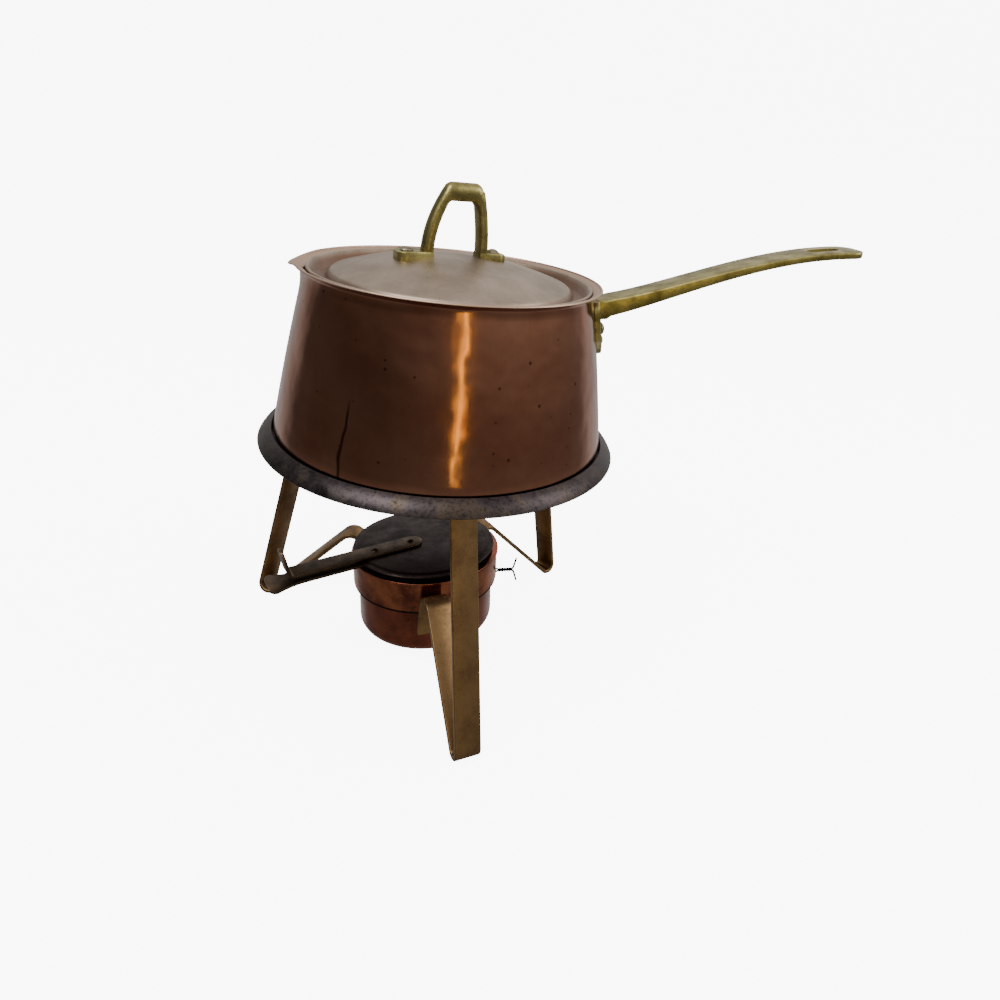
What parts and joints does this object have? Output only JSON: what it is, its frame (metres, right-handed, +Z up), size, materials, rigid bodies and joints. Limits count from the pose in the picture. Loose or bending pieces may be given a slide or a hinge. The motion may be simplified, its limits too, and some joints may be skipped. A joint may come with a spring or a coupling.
{
  "type": "fondue pot",
  "caption": "Copper fondue saucepan with a pouring lip, lift-off domed lid and long brass handle, on a strip-legged brass stand with a spirit burner and snuffer hung below.",
  "frame": {"origin": "on the stand's axis at the height of the table that the feet stand on", "axes": "+Z up, +X along the pot's handle, the pouring lip toward -X"},
  "size_m": [0.3354, 0.2124, 0.2737],
  "materials": {
    "oxidised_ring": "copper, heat-stained and mottled",
    "leg_brass": "aged olive brown brass strip",
    "burner_copper": "polished red-brown copper",
    "black_wire": "black annealed iron wire",
    "pot_copper": "brown copper with fine vertical brushing and dark specks",
    "handle_brass": "cast brass, speckled and dull",
    "rivet_metal": "dull grey rivet heads",
    "lid_copper": "pinkish satin copper",
    "gauze_steel": "perforated steel",
    "wadding": "off-white wick wadding",
    "lever_metal": "dark brown strip with worn edges",
    "snuffer_metal": "grey-black heat-darkened disc"
  },
  "bodies": {
    "stand": {"stand_ring": "oxidised_ring", "leg_front": "leg_brass", "leg_right": "leg_brass", "leg_left": "leg_brass", "ring_rivets": "leg_brass", "burner_hoop": "burner_copper", "hoop_rivets": "leg_brass", "tie_wire": "black_wire"},
    "pot": {"pot_shell": "pot_copper", "pot_handle": "handle_brass", "pot_handle_rivets": "rivet_metal"},
    "lid": {"lid_dome": "lid_copper", "lid_handle": "handle_brass", "lid_rivets": "rivet_metal"},
    "burner": {"burner_can": "burner_copper", "burner_top": "burner_copper", "burner_gauze": "gauze_steel", "burner_wadding": "wadding", "burner_handle": "lever_metal", "burner_handle_rivets": "lever_metal"},
    "snuffer": {"snuffer_disc": "snuffer_metal", "snuffer_arm": "lever_metal", "snuffer_rivets": "lever_metal"}
  },
  "joints": [
    {"name": "pot_lift", "type": "slide", "parent": "stand", "child": "pot", "axis": [0, 0, 1], "range_m": [0, 0.15]},
    {"name": "lid_lift", "type": "slide", "parent": "pot", "child": "lid", "axis": [0, 0, 1], "range_m": [0, 0.1]},
    {"name": "burner_lift", "type": "slide", "parent": "stand", "child": "burner", "axis": [-0.0723, 0.0487, 0.9962], "range_m": [0, 0.049]},
    {"name": "snuffer_lift", "type": "slide", "parent": "burner", "child": "snuffer", "axis": [-0.0723, 0.0487, 0.9962], "range_m": [0, 0.008]}
  ]
}
